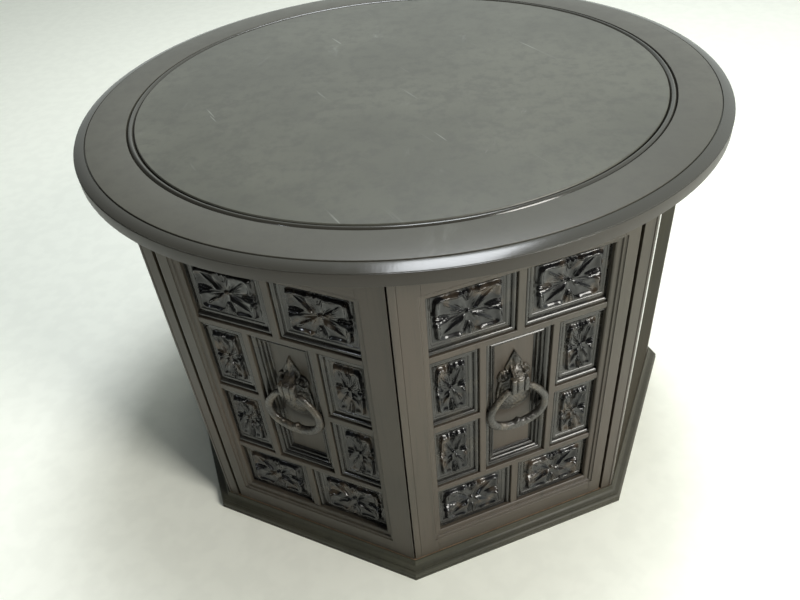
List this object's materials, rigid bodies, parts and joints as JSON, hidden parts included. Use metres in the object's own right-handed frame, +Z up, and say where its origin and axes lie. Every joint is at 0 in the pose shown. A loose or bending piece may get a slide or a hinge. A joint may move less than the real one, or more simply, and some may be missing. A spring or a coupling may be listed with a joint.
{
  "type": "octagonal drum table cabinet",
  "caption": "Low drum table with a round inlaid top on an octagonal cabinet whose two carved doors carry ring pulls.",
  "frame": {"origin": "on the floor under the middle of the table", "axes": "+Z up, the front corner between the two doors points to -Y, +X to the right seen from the front"},
  "size_m": [0.7779, 0.778, 0.492],
  "materials": {
    "top_wood": "satin",
    "case_wood": "semi-gloss",
    "carved_wood": "gloss",
    "inner_wood": "matte",
    "pull_iron": "satin",
    "steel": "satin",
    "brass_fittings": "satin",
    "catch_plastic": "matte"
  },
  "bodies": {
    "cabinet": {"bottom_board": "inner_wood", "front_left_post": "case_wood", "front_right_post": "case_wood", "magnetic_catches": "catch_plastic", "pivot_pins": "steel", "pivot_washers": "brass_fittings", "plinth_mouldings": "case_wood", "rear_posts": "case_wood", "shelf": "inner_wood", "shelf_pins": "steel", "side_panel_1": "case_wood", "side_panel_2": "case_wood", "side_panel_3": "case_wood", "side_panel_4": "case_wood", "side_panel_5": "case_wood", "side_panel_6": "case_wood", "top_bead": "top_wood", "top_panel": "top_wood", "top_rim": "top_wood", "top_screws": "steel", "upper_frame": "inner_wood"},
    "left_door": {"left_back_board": "inner_wood", "left_bottom_rail": "case_wood", "left_centre_border": "carved_wood", "left_centre_panel": "case_wood", "left_hinge_stile": "case_wood", "left_landscape_tiles": "carved_wood", "left_lattice": "case_wood", "left_meeting_stile": "case_wood", "left_pivot_bushes": "brass_fittings", "left_portrait_tiles": "carved_wood", "left_pull_bracket": "pull_iron", "left_pull_plate": "pull_iron", "left_pull_screw": "steel", "left_strike": "steel", "left_tile_borders": "carved_wood", "left_top_rail": "case_wood"},
    "right_door": {"right_back_board": "inner_wood", "right_bottom_rail": "case_wood", "right_centre_border": "carved_wood", "right_centre_panel": "case_wood", "right_hinge_stile": "case_wood", "right_landscape_tiles": "carved_wood", "right_lattice": "case_wood", "right_meeting_stile": "case_wood", "right_meeting_strip": "case_wood", "right_pivot_bushes": "brass_fittings", "right_portrait_tiles": "carved_wood", "right_pull_bracket": "pull_iron", "right_pull_plate": "pull_iron", "right_pull_screw": "steel", "right_strike": "steel", "right_tile_borders": "carved_wood", "right_top_rail": "case_wood"},
    "left_ring": {"left_pull_ring": "pull_iron"},
    "right_ring": {"right_pull_ring": "pull_iron"}
  },
  "joints": [
    {"name": "right_door_hinge", "type": "hinge", "parent": "cabinet", "child": "right_door", "pos_m": [0.23769, -0.26447, 0.242], "axis": [0, 0, 1], "range_deg": [0, 95]},
    {"name": "left_door_hinge", "type": "hinge", "parent": "cabinet", "child": "left_door", "pos_m": [-0.23769, -0.26447, 0.242], "axis": [0, 0, -1], "range_deg": [0, 95]},
    {"name": "right_ring_hinge", "type": "hinge", "parent": "right_door", "child": "right_ring", "pos_m": [0.12699, -0.31194, 0.266], "axis": [-0.9239, -0.3827, 0], "range_deg": [0, 90]},
    {"name": "left_ring_hinge", "type": "hinge", "parent": "left_door", "child": "left_ring", "pos_m": [-0.12699, -0.31194, 0.266], "axis": [-0.9239, 0.3827, 0], "range_deg": [0, 90]}
  ]
}
